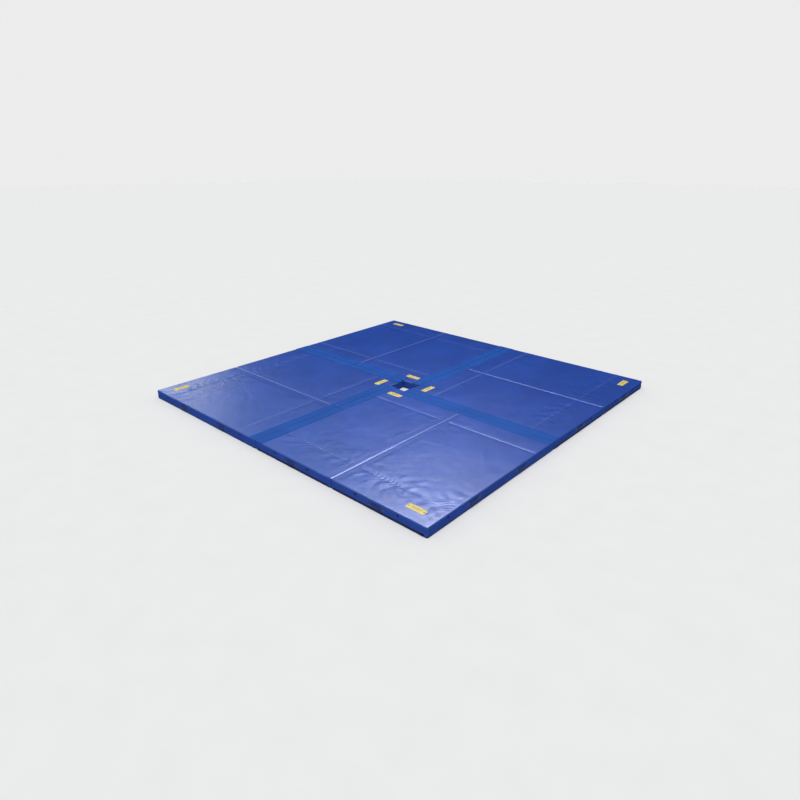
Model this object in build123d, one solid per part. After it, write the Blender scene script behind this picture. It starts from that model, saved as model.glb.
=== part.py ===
from build123d import *

import os

# Landing mat set: four equal bi-fold mats laid in a pinwheel around a square hole.
# Millimetres, +Z up. The origin is the middle of the set's underside.
# The front mat is modelled, and the other three are its quarter turns about +Z.

# Driving dimensions
MAT_LENGTH = 2743.2        # 9 ft
MAT_WIDTH = 2438.4         # 8 ft
THICKNESS = 120.0
JOINT_GAP = 2.0            # between neighbouring mats
FOLD_GAP = 2.0             # between the two halves of one mat
FOLD_OFFSET = 9.0          # of the fold line from mid-length: a folded half's end handles then clear the next mat
VINYL = 1.5                # cover fabric
FIRM_LAYER = 35.0          # firm foam sheet under the top
MATS = ("front", "right", "back", "left")

# The front mat's edges: X runs along its length, Y across its width.
SET_SIDE = MAT_LENGTH + MAT_WIDTH + JOINT_GAP
OUTER_END_X = SET_SIDE / 2
INNER_END_X = OUTER_END_X - MAT_LENGTH
FOLD_X = OUTER_END_X - MAT_LENGTH / 2 + FOLD_OFFSET
OUTER_SIDE_Y = -SET_SIDE / 2
INNER_SIDE_Y = OUTER_SIDE_Y + MAT_WIDTH
MAT_MIDDLE_Y = (OUTER_SIDE_Y + INNER_SIDE_Y) / 2
HALVES = {
    "inner": (INNER_END_X, FOLD_X - FOLD_GAP / 2),
    "outer": (FOLD_X + FOLD_GAP / 2, OUTER_END_X),
}

# The living hinge sewn across the top between the halves
FOLD_STRIP_WIDTH = 120.0
FOLD_STRIP_THICKNESS = 1.2

# Joining flaps: they lie over the next mat's inner end and hold on to its loop strip
FLAP_WIDTH = 135.0
FLAP_THICKNESS = 2.0
FLAP_CLEARANCE = 1.3       # above the top that the flap lies on
FLAP_START_X = -INNER_SIDE_Y
FLAP_SPLIT = 6.0           # between the inner and the outer flap
LOOP_WIDTH = 50.0
LOOP_THICKNESS = 1.0
LOOP_INSET = 12.0          # from the flap's free edge
LOOP_END_INSET = 10.0

# Label patches
LABEL_LENGTH = 240.0
LABEL_WIDTH = 85.0
LABEL_THICKNESS = 0.8
LABEL_CORNER = 16.0
OUTER_LABEL_INSET = (293.0, 184.0)     # from the outer end and the outer side to the middle
INNER_LABEL_INSET = (281.0, 203.0)     # from the inner end and the inner side to the middle

# Webbing carry handles: two sewn tabs and a span that stands off for the fingers
HANDLE_HEIGHT = 38.0
HANDLE_THICKNESS = 3.0
HANDLE_TAB = 45.0
HANDLE_RAMP = 25.0
HANDLE_SPAN = 110.0
HANDLE_STANDOFF = 12.0
HANDLE_Z = 70.0
END_HANDLE_OFFSET = 465.0  # of each end handle from the middle of the end wall

# Mesh air vents, round discs with a raised rim
VENT_RADIUS = 14.0
VENT_RIM = 2.5
VENT_RIM_HEIGHT = 2.2
VENT_MESH_HEIGHT = 1.0
VENT_Z = 92.0
VENT_OFFSET = 300.0        # from the middle of a half's long side
END_VENT_OFFSET = 900.0    # from the middle of the end wall

# Zippers low on each half's long side wall
ZIP_Z = 20.0
ZIP_LENGTH = 1280.0
ZIP_TAPE_HEIGHT = 28.0
ZIP_TAPE_THICKNESS = 1.0
ZIP_TEETH_HEIGHT = 6.0
ZIP_TEETH_DEPTH = 1.5
SLIDER_LENGTH = 18.0
SLIDER_HEIGHT = 11.0
SLIDER_DEPTH = 5.0
SLIDER_CLEARANCE = 0.3
SLIDER_END_INSET = 18.0    # of the closed slider's middle from the zipper's end
PULL_LENGTH = 30.0
PULL_HEIGHT = 7.0
PULL_THICKNESS = 1.5


def block(x_range, y_range, z_range):
    """A box between two values on each axis."""
    low = [min(r) for r in (x_range, y_range, z_range)]
    high = [max(r) for r in (x_range, y_range, z_range)]
    middle = [(a + b) / 2 for a, b in zip(low, high)]
    size = [b - a for a, b in zip(low, high)]
    return Pos(*middle) * Box(*size)


def cover(half):
    """One half's bag: a closed skin around the foam."""
    x0, x1 = HALVES[half]
    outside = block((x0, x1), (OUTER_SIDE_Y, INNER_SIDE_Y), (0, THICKNESS))
    inside = block(
        (x0 + VINYL, x1 - VINYL),
        (OUTER_SIDE_Y + VINYL, INNER_SIDE_Y - VINYL),
        (VINYL, THICKNESS - VINYL),
    )
    return outside - inside


def filling(half, z_range):
    """A foam layer that fills the bag between two heights."""
    x0, x1 = HALVES[half]
    return block((x0 + VINYL, x1 - VINYL), (OUTER_SIDE_Y + VINYL, INNER_SIDE_Y - VINYL), z_range)


def soft_core(half):
    return filling(half, (VINYL, THICKNESS - VINYL - FIRM_LAYER))


def firm_layer(half):
    return filling(half, (THICKNESS - VINYL - FIRM_LAYER, THICKNESS - VINYL))


def fold_strip():
    return block(
        (FOLD_X - FOLD_STRIP_WIDTH / 2, FOLD_X + FOLD_STRIP_WIDTH / 2),
        (OUTER_SIDE_Y, INNER_SIDE_Y),
        (THICKNESS, THICKNESS + FOLD_STRIP_THICKNESS),
    )


def flap(half):
    """The free part of one joining flap, from the joint edge outwards over the next mat."""
    x_range = {
        "inner": (FLAP_START_X, FOLD_X - FLAP_SPLIT / 2),
        "outer": (FOLD_X + FLAP_SPLIT / 2, OUTER_END_X),
    }[half]
    low = THICKNESS + FLAP_CLEARANCE
    return block(x_range, (INNER_SIDE_Y, INNER_SIDE_Y + FLAP_WIDTH), (low, low + FLAP_THICKNESS))


def loop_strip():
    """The loop strip under the front mat's flaps, sewn on the next mat's top."""
    y1 = INNER_SIDE_Y + FLAP_WIDTH - LOOP_INSET
    return block(
        (FLAP_START_X + LOOP_END_INSET, OUTER_END_X - LOOP_END_INSET),
        (y1 - LOOP_WIDTH, y1),
        (THICKNESS, THICKNESS + LOOP_THICKNESS),
    )


def label(half):
    """A flat patch with rounded corners on the top."""
    if half == "outer":
        x = OUTER_END_X - OUTER_LABEL_INSET[0]
        y = OUTER_SIDE_Y + OUTER_LABEL_INSET[1]
    else:
        x = INNER_END_X + INNER_LABEL_INSET[0]
        y = INNER_SIDE_Y - INNER_LABEL_INSET[1]
    outline = RectangleRounded(LABEL_LENGTH, LABEL_WIDTH, LABEL_CORNER)
    return extrude(Pos(x, y, THICKNESS) * outline, LABEL_THICKNESS, dir=(0, 0, 1))


def handle():
    """A webbing handle on a wall in the plane Y = 0, outside it at Y < 0."""
    inner_face = [
        (-HANDLE_SPAN / 2 - HANDLE_RAMP - HANDLE_TAB, 0),
        (-HANDLE_SPAN / 2 - HANDLE_RAMP, 0),
        (-HANDLE_SPAN / 2, -HANDLE_STANDOFF),
        (HANDLE_SPAN / 2, -HANDLE_STANDOFF),
        (HANDLE_SPAN / 2 + HANDLE_RAMP, 0),
        (HANDLE_SPAN / 2 + HANDLE_RAMP + HANDLE_TAB, 0),
    ]
    outer_face = [(x, y - HANDLE_THICKNESS) for x, y in reversed(inner_face)]
    outline = make_face(Polyline(*inner_face, *outer_face, close=True))
    return extrude(Pos(0, 0, -HANDLE_HEIGHT / 2) * outline, HANDLE_HEIGHT, dir=(0, 0, 1))


def vent():
    """A round mesh vent on a wall in the plane Y = 0, outside it at Y < 0."""
    rim = extrude(Plane.XZ * Circle(VENT_RADIUS), VENT_RIM_HEIGHT, dir=(0, -1, 0))
    well = extrude(
        Pos(0, -VENT_MESH_HEIGHT, 0) * (Plane.XZ * Circle(VENT_RADIUS - VENT_RIM)),
        VENT_RIM_HEIGHT,
        dir=(0, -1, 0),
    )
    return rim - well


def on_long_side(piece, x, z):
    """Moves a wall piece to the front mat's long outer side."""
    return Pos(x, OUTER_SIDE_Y, z) * piece


def on_outer_end(piece, y, z):
    """Moves a wall piece to the front mat's outer end."""
    return Pos(OUTER_END_X, y, z) * Rot(0, 0, 90) * piece


def half_middle(half):
    return sum(HALVES[half]) / 2


def handles(half):
    pieces = [on_long_side(handle(), half_middle(half), HANDLE_Z)]
    if half == "outer":
        for side in (-1, 1):
            pieces.append(on_outer_end(handle(), MAT_MIDDLE_Y + side * END_HANDLE_OFFSET, HANDLE_Z))
    return pieces


def vents(half):
    pieces = [on_long_side(vent(), half_middle(half) + side * VENT_OFFSET, VENT_Z) for side in (-1, 1)]
    if half == "outer":
        for side in (-1, 1):
            pieces.append(on_outer_end(vent(), MAT_MIDDLE_Y + side * END_VENT_OFFSET, VENT_Z))
    return pieces


def zipper(half):
    """Tape and closed teeth on the long side wall."""
    x_range = (half_middle(half) - ZIP_LENGTH / 2, half_middle(half) + ZIP_LENGTH / 2)
    teeth_y = OUTER_SIDE_Y - ZIP_TAPE_THICKNESS
    tape = block(
        x_range,
        (OUTER_SIDE_Y, teeth_y),
        (ZIP_Z - ZIP_TAPE_HEIGHT / 2, ZIP_Z + ZIP_TAPE_HEIGHT / 2),
    )
    teeth = block(
        x_range,
        (teeth_y, teeth_y - ZIP_TEETH_DEPTH),
        (ZIP_Z - ZIP_TEETH_HEIGHT / 2, ZIP_Z + ZIP_TEETH_HEIGHT / 2),
    )
    return tape + teeth


def slider(half):
    """The closed zipper's slider, wrapped around the teeth, with its pull tab."""
    away = -1 if half == "inner" else 1
    x = half_middle(half) + away * (ZIP_LENGTH / 2 - SLIDER_END_INSET)
    back_y = OUTER_SIDE_Y - ZIP_TAPE_THICKNESS - SLIDER_CLEARANCE
    front_y = back_y - SLIDER_DEPTH
    body = block(
        (x - SLIDER_LENGTH / 2, x + SLIDER_LENGTH / 2),
        (back_y, front_y),
        (ZIP_Z - SLIDER_HEIGHT / 2, ZIP_Z + SLIDER_HEIGHT / 2),
    )
    channel_half_height = ZIP_TEETH_HEIGHT / 2 + SLIDER_CLEARANCE
    channel = block(
        (x - SLIDER_LENGTH, x + SLIDER_LENGTH),
        (OUTER_SIDE_Y, OUTER_SIDE_Y - ZIP_TAPE_THICKNESS - ZIP_TEETH_DEPTH - SLIDER_CLEARANCE),
        (ZIP_Z - channel_half_height, ZIP_Z + channel_half_height),
    )
    pull = block(
        (x - away * SLIDER_LENGTH / 4, x - away * (SLIDER_LENGTH / 4 + PULL_LENGTH)),
        (front_y, front_y - PULL_THICKNESS),
        (ZIP_Z - PULL_HEIGHT / 2, ZIP_Z + PULL_HEIGHT / 2),
    )
    return body - channel + pull


def turned(piece, index):
    """The same piece on the mat a number of quarter turns from the front one."""
    return Rot(0, 0, 90 * index) * piece


def group(pieces):
    """Separate solids in one node."""
    return Compound(children=[solid for piece in pieces for solid in piece.solids()])


def mat_nodes(name, index):
    """The nodes of one mat that aren't shared between the mats."""
    nodes = {
        "inner_cover": cover("inner"),
        "outer_cover": cover("outer"),
        "outer_soft_core": soft_core("outer"),
        "outer_firm_layer": firm_layer("outer"),
        "fold_strip": fold_strip(),
        "inner_flap": flap("inner"),
        "outer_flap": flap("outer"),
        "outer_label": label("outer"),
        "outer_handles": group(handles("outer")),
        "outer_vents": group(vents("outer")),
        "outer_zipper": zipper("outer"),
        "inner_zip_slider": slider("inner"),
        "outer_zip_slider": slider("outer"),
    }
    return {f"{name}_{node}": turned(shape, index) for node, shape in nodes.items()}


def shared_nodes():
    """Equal pieces of the four inner halves, which stay together: one node for each kind."""
    kinds = {
        "inner_soft_cores": [soft_core("inner")],
        "inner_firm_layers": [firm_layer("inner")],
        "inner_labels": [label("inner")],
        "inner_handles": handles("inner"),
        "inner_vents": vents("inner"),
        "inner_zippers": [zipper("inner")],
        "loop_strips": [loop_strip()],
    }
    return {
        node: group(turned(piece, index) for index in range(len(MATS)) for piece in pieces)
        for node, pieces in kinds.items()
    }


def main():
    os.makedirs("parts", exist_ok=True)
    nodes = shared_nodes()
    for index, name in enumerate(MATS):
        nodes.update(mat_nodes(name, index))
    for node, shape in nodes.items():
        export_step(shape, f"parts/{node}.step")
    print(f"{len(nodes)} nodes, set {SET_SIDE:.1f} mm square, fold line at {FOLD_X:.1f} mm")


main()
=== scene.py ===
import math

import bpy
import numpy as np
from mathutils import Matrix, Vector


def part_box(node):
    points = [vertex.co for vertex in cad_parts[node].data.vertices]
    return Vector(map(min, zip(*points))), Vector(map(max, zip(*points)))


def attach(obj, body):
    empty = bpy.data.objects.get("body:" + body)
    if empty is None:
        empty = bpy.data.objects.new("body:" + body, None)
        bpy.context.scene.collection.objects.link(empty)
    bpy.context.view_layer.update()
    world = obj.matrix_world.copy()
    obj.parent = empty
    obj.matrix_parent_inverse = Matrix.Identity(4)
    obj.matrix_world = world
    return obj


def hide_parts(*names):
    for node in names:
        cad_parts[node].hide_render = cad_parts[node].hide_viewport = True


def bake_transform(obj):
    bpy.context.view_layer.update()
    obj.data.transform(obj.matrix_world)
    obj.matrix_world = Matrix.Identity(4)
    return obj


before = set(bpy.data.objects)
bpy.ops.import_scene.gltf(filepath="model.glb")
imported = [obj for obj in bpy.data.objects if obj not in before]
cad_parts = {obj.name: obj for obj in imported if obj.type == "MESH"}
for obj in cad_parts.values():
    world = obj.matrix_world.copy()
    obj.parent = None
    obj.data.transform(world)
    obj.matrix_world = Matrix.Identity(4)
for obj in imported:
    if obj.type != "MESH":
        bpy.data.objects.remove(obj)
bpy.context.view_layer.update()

# Landing mat set: four bi-fold mats in a pinwheel. Metres. Everything is worked out on the front
# mat, whose length runs along X, and turned by quarter turns about +Z for the other three.

MATS = ("front", "right", "back", "left")
ROOT = "joined_inner_halves"
HALVES = ("inner", "outer")

inner_low, inner_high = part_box("front_inner_cover")
outer_low, outer_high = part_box("front_outer_cover")
flap_low, flap_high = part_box("front_inner_flap")
outer_flap_low, outer_flap_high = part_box("front_outer_flap")
strip_low, strip_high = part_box("front_fold_strip")
label_low, label_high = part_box("front_outer_label")

TOP = inner_high.z
INNER_END = inner_low.x
OUTER_END = outer_high.x
FOLD = (inner_high.x + outer_low.x) / 2
OUTER_SIDE = inner_low.y
INNER_SIDE = inner_high.y
HALF_SIDE = OUTER_END
MAT_WIDTH = INNER_SIDE - OUTER_SIDE
MIDDLE_Y = (OUTER_SIDE + INNER_SIDE) / 2
JOINT_GAP = 0.002
SHARP_ANGLE = math.radians(35)         # edges that bend more than this are not shaded smooth

# Cover shape
TOP_RADIUS = 0.016
BOTTOM_RADIUS = 0.007
CORNER_RADIUS = 0.022
INNER_SEAM = INNER_SIDE - 0.422        # panel seams, parallel to the long sides
OUTER_SEAM = OUTER_SIDE + 0.405
SEAMS = (INNER_SEAM, OUTER_SEAM)
SEAM_LINE = 0.0052                     # half the width of the pale line on a seam: wear, and a painted highlight for its ridge's glint
# How pale each mat's seams are: partly wear, partly a painted highlight that differs from mat to
# mat as the glint does
SEAM_WEAR_AND_GLINT = {"front": 1.0, "right": 0.6, "back": 0.6, "left": 0.35}
OUTER_SEAM_SHARE = 0.15                # paleness of the outer seam, wear and painted highlight, beside the inner one
GRID_STEP_ALONG = 0.011
GRID_STEP_ACROSS = 0.016
HIGHEST_RELIEF = 0.0040
DEEPEST_RELIEF = -0.0070

# Cloth simulation of the tops
CLOTH_STEP_ALONG = 0.012
CLOTH_STEP_ACROSS = 0.018
CLOTH_FRAMES = 20
CLOTH_BENDING = 0.6
MOST_SLACK = 0.0045
SHARP_SHARE = 0.5                      # of the drawn folds, kept crisp over the settled ones

# Sheets
SHEET = 0.0012
FLAP_WIDTH = flap_high.y - flap_low.y
FLAP_BASE_LIFT = 0.0003
FLAP_FREE_LIFT = 0.0014
FLAP_BEND = 0.001                      # half the width of the bend when a flap is peeled back
VALLEY_DEPTH = 0.0016
FOLD_STRIP_HALF = (strip_high.x - strip_low.x) / 2
TAPE_WIDTH = 0.050                     # hook and loop tapes
TAPE_MARGIN = 0.012                    # from a tape to the flap's free edge

# Foam, clear inside the covers
FOAM_INSET = 0.010
FOAM_RADIUS = 0.012
FOAM_STEP = 0.12
FOAM_BOTTOM = 0.004
FOAM_SPLIT = 0.078
FOAM_TOP = TOP - 0.011

# Labels
INNER_LABEL_INSET = (0.281, 0.203)     # from the inner end and the inner side to the middle
LABEL_CORNER = 0.016
LABEL_LIFT = 0.0006

# Walls: webbing handles, vents, zippers, piping, thread
HANDLE_LENGTH = 0.250
HANDLE_TAB = 0.045
HANDLE_HEIGHT = 0.038
HANDLE_BOW = 0.0105
HANDLE_Z = 0.070
END_HANDLE_OFFSET = 0.465
WEBBING = 0.0022
VENT_Z = 0.092
VENT_OFFSET = 0.300
END_VENT_OFFSET = 0.900
ZIP_Z = 0.020
ZIP_LENGTH = 1.280
ZIP_TAPE_HEIGHT = 0.028
ZIP_PITCH = 0.0032
WALL_WAVE_LOW = 0.038                  # the walls are flat below this, for the zippers
PIPING_RADIUS = 0.0026
STITCH_PITCH = 0.0075
STITCH_SIZE = (0.0045, 0.0011, 0.0007)

# Stage
CAMERA_ANGLES = (41.98, 23.07)         # azimuth and elevation, in degrees
CAMERA_LENS = 26.91
CAMERA_PLACE = (2.144, -2.421, 1.332)  # in units of half the set's side
SKY_COLOUR = (0.92, 0.96, 1.0)
SKY_STRENGTH = 0.46
PANEL_HEIGHT = 5.2
FLOOR_REACH = 60.0
FLOOR_COLOUR = (0.80, 0.79, 0.78)
BACKDROP_COLOUR = (0.84, 0.84, 0.84)


# ---- numbers and noise

def smooth(x, low, high):
    """0 below low, 1 above high, smooth between them."""
    t = np.clip((np.asarray(x, float) - low) / (high - low), 0, 1)
    return t * t * (3 - 2 * t)


def bump(x, width):
    """A bell of height 1 about 0."""
    return np.exp(-(np.asarray(x, float) / width) ** 2)


def lattice(i, j, seed):
    """A repeatable value from -1 to 1 for each whole-number point."""
    h = np.sin(i * 127.1 + j * 311.7 + seed * 74.7) * 43758.5453
    return 2 * (h - np.floor(h)) - 1


def noise(x, y, seed):
    """Smooth value noise with a period of about 1."""
    x, y = np.broadcast_arrays(np.asarray(x, float), np.asarray(y, float))
    i, j = np.floor(x), np.floor(y)
    u, v = x - i, y - j
    u, v = u * u * (3 - 2 * u), v * v * (3 - 2 * v)
    low = lattice(i, j, seed) * (1 - u) + lattice(i + 1, j, seed) * u
    high = lattice(i, j + 1, seed) * (1 - u) + lattice(i + 1, j + 1, seed) * u
    return low * (1 - v) + high * v


def rough_noise(x, y, seed, octaves=3):
    """Several layers of noise, each twice as fine and half as strong."""
    total = 0.0
    for k in range(octaves):
        total = total + noise(x * 2 ** k + 5.2 * k, y * 2 ** k - 3.7 * k, seed + k) / 2 ** k
    return total


def spread(start, stop, step):
    """Evenly spaced values strictly between two others, about a step apart."""
    count = max(1, round((stop - start) / step))
    return np.linspace(start, stop, count + 1)[1:-1]


def turned(points, index):
    """Points turned about +Z by a number of quarter turns."""
    points = np.array(points, float)
    for _ in range(index):
        points = np.stack([-points[..., 1], points[..., 0], points[..., 2]], -1)
    return points


# ---- meshes

def linked(name, data):
    """A new object in the scene."""
    made = bpy.data.objects.new(name, data)
    bpy.context.scene.collection.objects.link(made)
    return made


def new_mesh(name, points, faces, material, attributes=None):
    """A smooth-shaded mesh object with its points in the row frame."""
    mesh = bpy.data.meshes.new(name)
    mesh.from_pydata([tuple(p) for p in np.asarray(points, float)], [], faces)
    for key, values in (attributes or {}).items():
        layer = mesh.attributes.new(key, "FLOAT", "POINT")
        layer.data.foreach_set("value", np.asarray(values, np.float32))
    mesh.polygons.foreach_set("use_smooth", [True] * len(mesh.polygons))
    mesh.set_sharp_from_angle(angle=SHARP_ANGLE)
    mesh.materials.append(material)
    mesh.update()
    return linked(name, mesh)


def joined(parts):
    """Several (points, faces) as one."""
    points, faces, start = [], [], 0
    for part_points, part_faces in parts:
        points.append(np.asarray(part_points, float).reshape(-1, 3))
        faces += [tuple(start + k for k in face) for face in part_faces]
        start += len(points[-1])
    return np.concatenate(points), faces


def grid_faces(rows, columns, start=0, flip=False):
    """Quads of a grid of points stored row by row."""
    faces = []
    for i in range(rows - 1):
        for j in range(columns - 1):
            a = start + i * columns + j
            quad = (a, a + columns, a + columns + 1, a + 1)
            faces.append(quad[::-1] if flip else quad)
    return faces


def grid_of(x, y, z):
    """A grid of points, rows by columns by 3, from coordinates that broadcast together."""
    return np.stack(np.broadcast_arrays(*(np.asarray(c, float) for c in (x, y, z))), -1)


def sheet_rows(values, columns):
    """An attribute that is the same along each row of a thin sheet, for all its points."""
    return np.tile(np.repeat(values, columns), 2)


def thin_sheet(top, thickness):
    """A closed thin sheet under a grid of points."""
    rows, columns = top.shape[:2]
    along = np.gradient(top, axis=0)
    across = np.gradient(top, axis=1)
    normal = np.cross(along, across)
    normal /= np.linalg.norm(normal, axis=-1, keepdims=True)
    bottom = top - normal * thickness
    count = rows * columns
    faces = grid_faces(rows, columns) + grid_faces(rows, columns, count, flip=True)
    rim = [(i, 0) for i in range(rows)]
    rim += [(rows - 1, j) for j in range(1, columns)]
    rim += [(i, columns - 1) for i in range(rows - 2, -1, -1)]
    rim += [(0, j) for j in range(columns - 2, 0, -1)]
    index = [i * columns + j for i, j in rim]
    for a, b in zip(index, index[1:] + index[:1]):
        faces.append((a, a + count, b + count, b))
    return np.concatenate([top.reshape(-1, 3), bottom.reshape(-1, 3)]), faces


def tube(path, radius, sides=8):
    """A closed tube with flat ends along a path of points."""
    path = np.asarray(path, float)
    forward = np.gradient(path, axis=0)
    forward /= np.linalg.norm(forward, axis=1, keepdims=True)
    up = np.zeros_like(forward)
    up[:, 2] = 1.0
    steep = np.abs(forward[:, 2]) > 0.9
    up[steep] = (1.0, 0.0, 0.0)
    side = np.cross(forward, up)
    side /= np.linalg.norm(side, axis=1, keepdims=True)
    lift = np.cross(side, forward)
    points = []
    for k in range(sides):
        angle = 2 * math.pi * k / sides
        points.append(path + radius * (math.cos(angle) * side + math.sin(angle) * lift))
    points = np.stack(points, 1)
    rings = len(path)
    faces = []
    for i in range(rings - 1):
        for k in range(sides):
            a, b = i * sides + k, i * sides + (k + 1) % sides
            faces.append((a, b, b + sides, a + sides))
    faces.append(tuple(range(sides))[::-1])
    faces.append(tuple((rings - 1) * sides + k for k in range(sides)))
    return points.reshape(-1, 3), faces


def bars(middles, along, up, size):
    """Small low boxes, such as stitches or zipper teeth. along and up are unit vectors."""
    middles = np.asarray(middles, float)
    along = np.broadcast_to(np.asarray(along, float), middles.shape)
    up = np.broadcast_to(np.asarray(up, float), middles.shape)
    side = np.cross(up, along)
    length, width, height = size
    corners = []
    for z, narrow in ((-0.5, 1.0), (0.5, 0.6)):
        for x, y in ((-0.5, -0.5), (0.5, -0.5), (0.5, 0.5), (-0.5, 0.5)):
            corners.append(
                middles + along * x * length * narrow + side * y * width * narrow + up * z * height
            )
    points = np.stack(corners, 1).reshape(-1, 3)
    box_faces = ((3, 2, 1, 0), (4, 5, 6, 7), (0, 1, 5, 4), (1, 2, 6, 5), (2, 3, 7, 6), (3, 0, 4, 7))
    faces = [
        tuple(8 * n + k for k in face) for n in range(len(middles)) for face in box_faces
    ]
    return points, faces


# ---- relief of the tops

def half_range(half):
    """From where to where a half reaches along X."""
    if half == "inner":
        return INNER_END, FOLD - JOINT_GAP / 2
    return FOLD + JOINT_GAP / 2, OUTER_END


def edge_distances(x, y, half):
    """Distances from the fold, the other end, the inner side and the outer side."""
    low, high = half_range(half)
    to_end = x - low if half == "inner" else high - x
    to_fold = high - x if half == "inner" else x - low
    return to_fold, to_end, INNER_SIDE - y, y - OUTER_SIDE


def rim_distance(x, y, low, high):
    """Distance to the nearest side of a rectangle, given two of its corners."""
    return np.minimum(np.minimum(x - low[0], high[0] - x), np.minimum(y - low[1], high[1] - y))


def quiet(x, y, half):
    """1 where the top may wave, 0 at its edges and where another piece lies on it."""
    to_fold, to_end, to_inner, to_outer = edge_distances(x, y, half)
    free_end = smooth(to_end, 0.145, 0.26) if half == "inner" else smooth(to_end, 0.012, 0.07)
    free_sides = smooth(to_inner, 0.145, 0.23) * smooth(to_outer, 0.012, 0.07)
    return smooth(to_fold, 0.064, 0.13) * free_end * free_sides


def puckers(x, y, seam, seed, pitch, reach, skew):
    """Short folds that cross a seam and fade away from it."""
    d = y - seam
    u = x + 0.35 * pitch * rough_noise(x / 0.31, y / 0.2, seed) + skew * np.abs(d)
    strength = smooth(rough_noise(x / 0.42, 0.0, seed + 11), -0.15, 0.75)
    folds = np.cos(2 * math.pi * u / pitch) ** 3
    return strength * folds * bump(d, reach)


def first_folds(x, y, half, index):
    seed = 10 * index + (3 if half == "inner" else 8)
    folds = 0.0024 * puckers(x, y, OUTER_SEAM, seed, 0.062, 0.09, 0.9)
    folds = folds + 0.0012 * puckers(x, y, INNER_SEAM, seed + 1, 0.055, 0.05, -0.6)
    if half == "outer":
        to_end = OUTER_END - x
        slant = y + 0.9 * to_end + 0.02 * noise(y / 0.1, x / 0.1, seed)
        place = bump(y - OUTER_SEAM - 0.05, 0.17) * bump(to_end - 0.10, 0.16)
        folds = folds + 0.0022 * np.cos(2 * math.pi * slant / 0.058) ** 3 * place
    return folds


def slack(x, y, half, index):
    """How much longer the top fabric is than the foam under it, as a share."""
    seed = 10 * index + (1 if half == "inner" else 6)
    patches = smooth(rough_noise(x / 0.40, y / 0.30, seed), -0.5, 0.7)
    by_outer = (0.35 + 0.65 * patches) * bump(y - OUTER_SEAM, 0.15)
    by_inner = 0.35 * patches * bump(y - INNER_SEAM, 0.09)
    by_end = 0.8 * bump(OUTER_END - x - 0.10, 0.15) * bump(y - OUTER_SEAM - 0.05, 0.30)
    return MOST_SLACK * np.clip(by_outer + by_inner + by_end, 0, 1)


def vertex_group(cloth, name, weights):
    """A vertex group from one weight for each point."""
    group = cloth.vertex_groups.new(name=name)
    for k, weight in enumerate(weights.ravel()):
        if weight > 0:
            group.add([k], float(weight), "REPLACE")
    return name


def settled(cloth, held, taut):
    """Runs the cloth simulation on an object and gives its final points.

    held is 1 where the cloth is fixed. taut is 0 where it has most slack, and 1 where it has none.
    """
    modifier = cloth.modifiers.new("cloth", "CLOTH")
    settings = modifier.settings
    settings.quality = 5
    settings.mass = 0.15
    settings.tension_stiffness = 25.0
    settings.compression_stiffness = 25.0
    settings.shear_stiffness = 8.0
    settings.bending_stiffness = CLOTH_BENDING
    settings.tension_damping = 8.0
    settings.compression_damping = 8.0
    settings.air_damping = 2.0
    settings.vertex_group_mass = vertex_group(cloth, "held", held)
    settings.vertex_group_shrink = vertex_group(cloth, "taut", taut)
    settings.shrink_max = 0.0
    settings.shrink_min = -MOST_SLACK
    settings.effector_weights.gravity = 0.0
    modifier.collision_settings.use_collision = False
    modifier.point_cache.frame_end = CLOTH_FRAMES
    for step in range(1, CLOTH_FRAMES + 1):
        bpy.context.scene.frame_set(step)
    result = cloth.evaluated_get(bpy.context.evaluated_depsgraph_get())
    points = np.zeros(len(result.data.vertices) * 3, np.float32)
    result.data.vertices.foreach_get("co", points)
    return points.reshape(-1, 3)


def simulated_top(half, index):
    """Cloth simulation of one top panel: slack fabric, sewn down at its edges and along its seams.

    Gives the sample positions and the heights of the settled fabric over the flat.
    """
    x0, x1 = half_range(half)
    xs = np.linspace(x0, x1, round((x1 - x0) / CLOTH_STEP_ALONG) + 1)
    ys = np.linspace(OUTER_SIDE, INNER_SIDE, round(MAT_WIDTH / CLOTH_STEP_ACROSS) + 1)
    x, y = np.meshgrid(xs, ys, indexing="ij")
    calm = quiet(x, y, half)
    points = np.stack([x, y, first_folds(x, y, half, index) * calm], -1).reshape(-1, 3)
    mesh = bpy.data.meshes.new("cloth")
    mesh.from_pydata([tuple(p) for p in points], [], grid_faces(len(xs), len(ys)))
    cloth = linked("cloth", mesh)
    sewn = np.maximum(bump(y - INNER_SEAM, 0.006), bump(y - OUTER_SEAM, 0.006)) > 0.3
    held = (sewn | (calm < 0.03)).astype(float)
    heights = settled(cloth, held, 1 - slack(x, y, half, index) / MOST_SLACK)[:, 2]
    bpy.data.objects.remove(cloth)
    bpy.data.meshes.remove(mesh)
    bpy.context.scene.frame_set(1)
    return xs, ys, softened(heights.reshape(len(xs), len(ys)).astype(float))


def softened(values):
    """Each value averaged with its neighbours, both ways."""
    for axis in (0, 1):
        values = 0.5 * values + 0.25 * (np.roll(values, 1, axis) + np.roll(values, -1, axis))
    return values


def between(x, y, xs, ys, values):
    """Values of a regular grid at other points."""
    x, y = np.broadcast_arrays(np.asarray(x, float), np.asarray(y, float))
    u = np.clip((x - xs[0]) / (xs[1] - xs[0]), 0, len(xs) - 1.000001)
    v = np.clip((y - ys[0]) / (ys[1] - ys[0]), 0, len(ys) - 1.000001)
    i, j = u.astype(int), v.astype(int)
    u, v = u - i, v - j
    low = values[i, j] * (1 - u) + values[i + 1, j] * u
    high = values[i, j + 1] * (1 - u) + values[i + 1, j + 1] * u
    return low * (1 - v) + high * v


settled_tops = {}


def folds(x, y, half, index):
    if (half, index) not in settled_tops:
        settled_tops[half, index] = simulated_top(half, index)
    fine = SHARP_SHARE * first_folds(x, y, half, index)
    return between(x, y, *settled_tops[half, index]) + fine


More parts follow.
